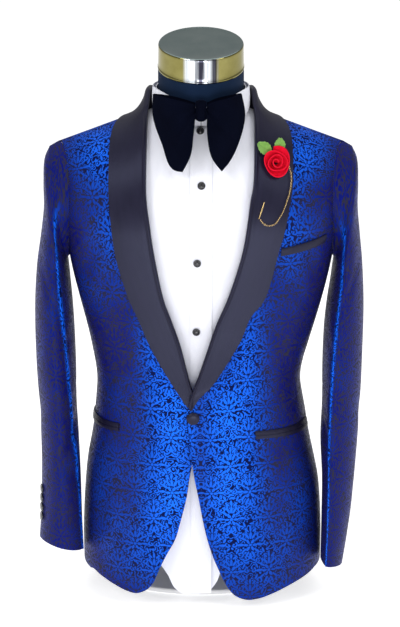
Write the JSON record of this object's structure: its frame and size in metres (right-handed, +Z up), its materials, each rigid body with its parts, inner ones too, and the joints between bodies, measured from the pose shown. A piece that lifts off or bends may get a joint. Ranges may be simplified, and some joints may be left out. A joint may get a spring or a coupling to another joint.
{
  "type": "tuxedo on a limbless dress form",
  "caption": "Slim one-button shawl-collar tuxedo in blue figured cloth with satin facings, over a white shirt, drooping velvet bow tie and rose lapel pin, on a limbless form.",
  "frame": {"origin": "middle of the base plate's underside, on the floor under the column", "axes": "+Z up, -Y the wearer's front, +X the wearer's left"},
  "size_m": [0.506, 0.2574, 0.8897],
  "materials": {
    "brocade": "blue figured jacquard with a satin sheen",
    "satin": "black satin",
    "shirting": "plain white cotton",
    "velvet": "black velvet",
    "button": "gloss black",
    "jersey": "dark navy jersey",
    "chrome": "polished",
    "white_paint": "white powder coat",
    "felt_red": "red felt",
    "felt_green": "green felt",
    "gold": "pale gold plate"
  },
  "bodies": {
    "root": {"jacket_front_left": "brocade", "jacket_front_right": "brocade", "jacket_side_left": "brocade", "jacket_side_right": "brocade", "jacket_back_left": "brocade", "jacket_back_right": "brocade", "sleeve_top_left": "brocade", "sleeve_under_left": "brocade", "sleeve_top_right": "brocade", "sleeve_under_right": "brocade", "shawl_collar_left": "satin", "shawl_collar_right": "satin", "hip_pocket_left": "satin", "hip_pocket_right": "satin", "breast_welt": "satin", "front_button": "satin", "shirt_front_left": "shirting", "shirt_front_right": "shirting", "shirt_back": "shirting", "shirt_placket": "shirting", "shirt_sleeve_left": "shirting", "shirt_sleeve_right": "shirting", "shirt_stand": "shirting", "shirt_leaf": "shirting", "tie_band": "velvet", "tie_wing_left": "velvet", "tie_wing_right": "velvet", "tie_knot": "velvet", "stud_1": "button", "stud_2": "button", "stud_3": "button", "stud_4": "button", "stud_5": "button", "stud_6": "button", "cuff_button_left_1": "button", "cuff_button_left_2": "button", "cuff_button_left_3": "button", "cuff_button_left_4": "button", "cuff_button_right_1": "button", "cuff_button_right_2": "button", "cuff_button_right_3": "button", "cuff_button_right_4": "button", "form_body": "jersey", "neck_cap": "chrome", "base_plate": "white_paint", "column": "white_paint", "rose": "felt_red", "rose_leaf_inner": "felt_green", "rose_leaf_outer": "felt_green", "pin_chain": "gold", "pin_bar": "gold"}
  },
  "joints": []
}
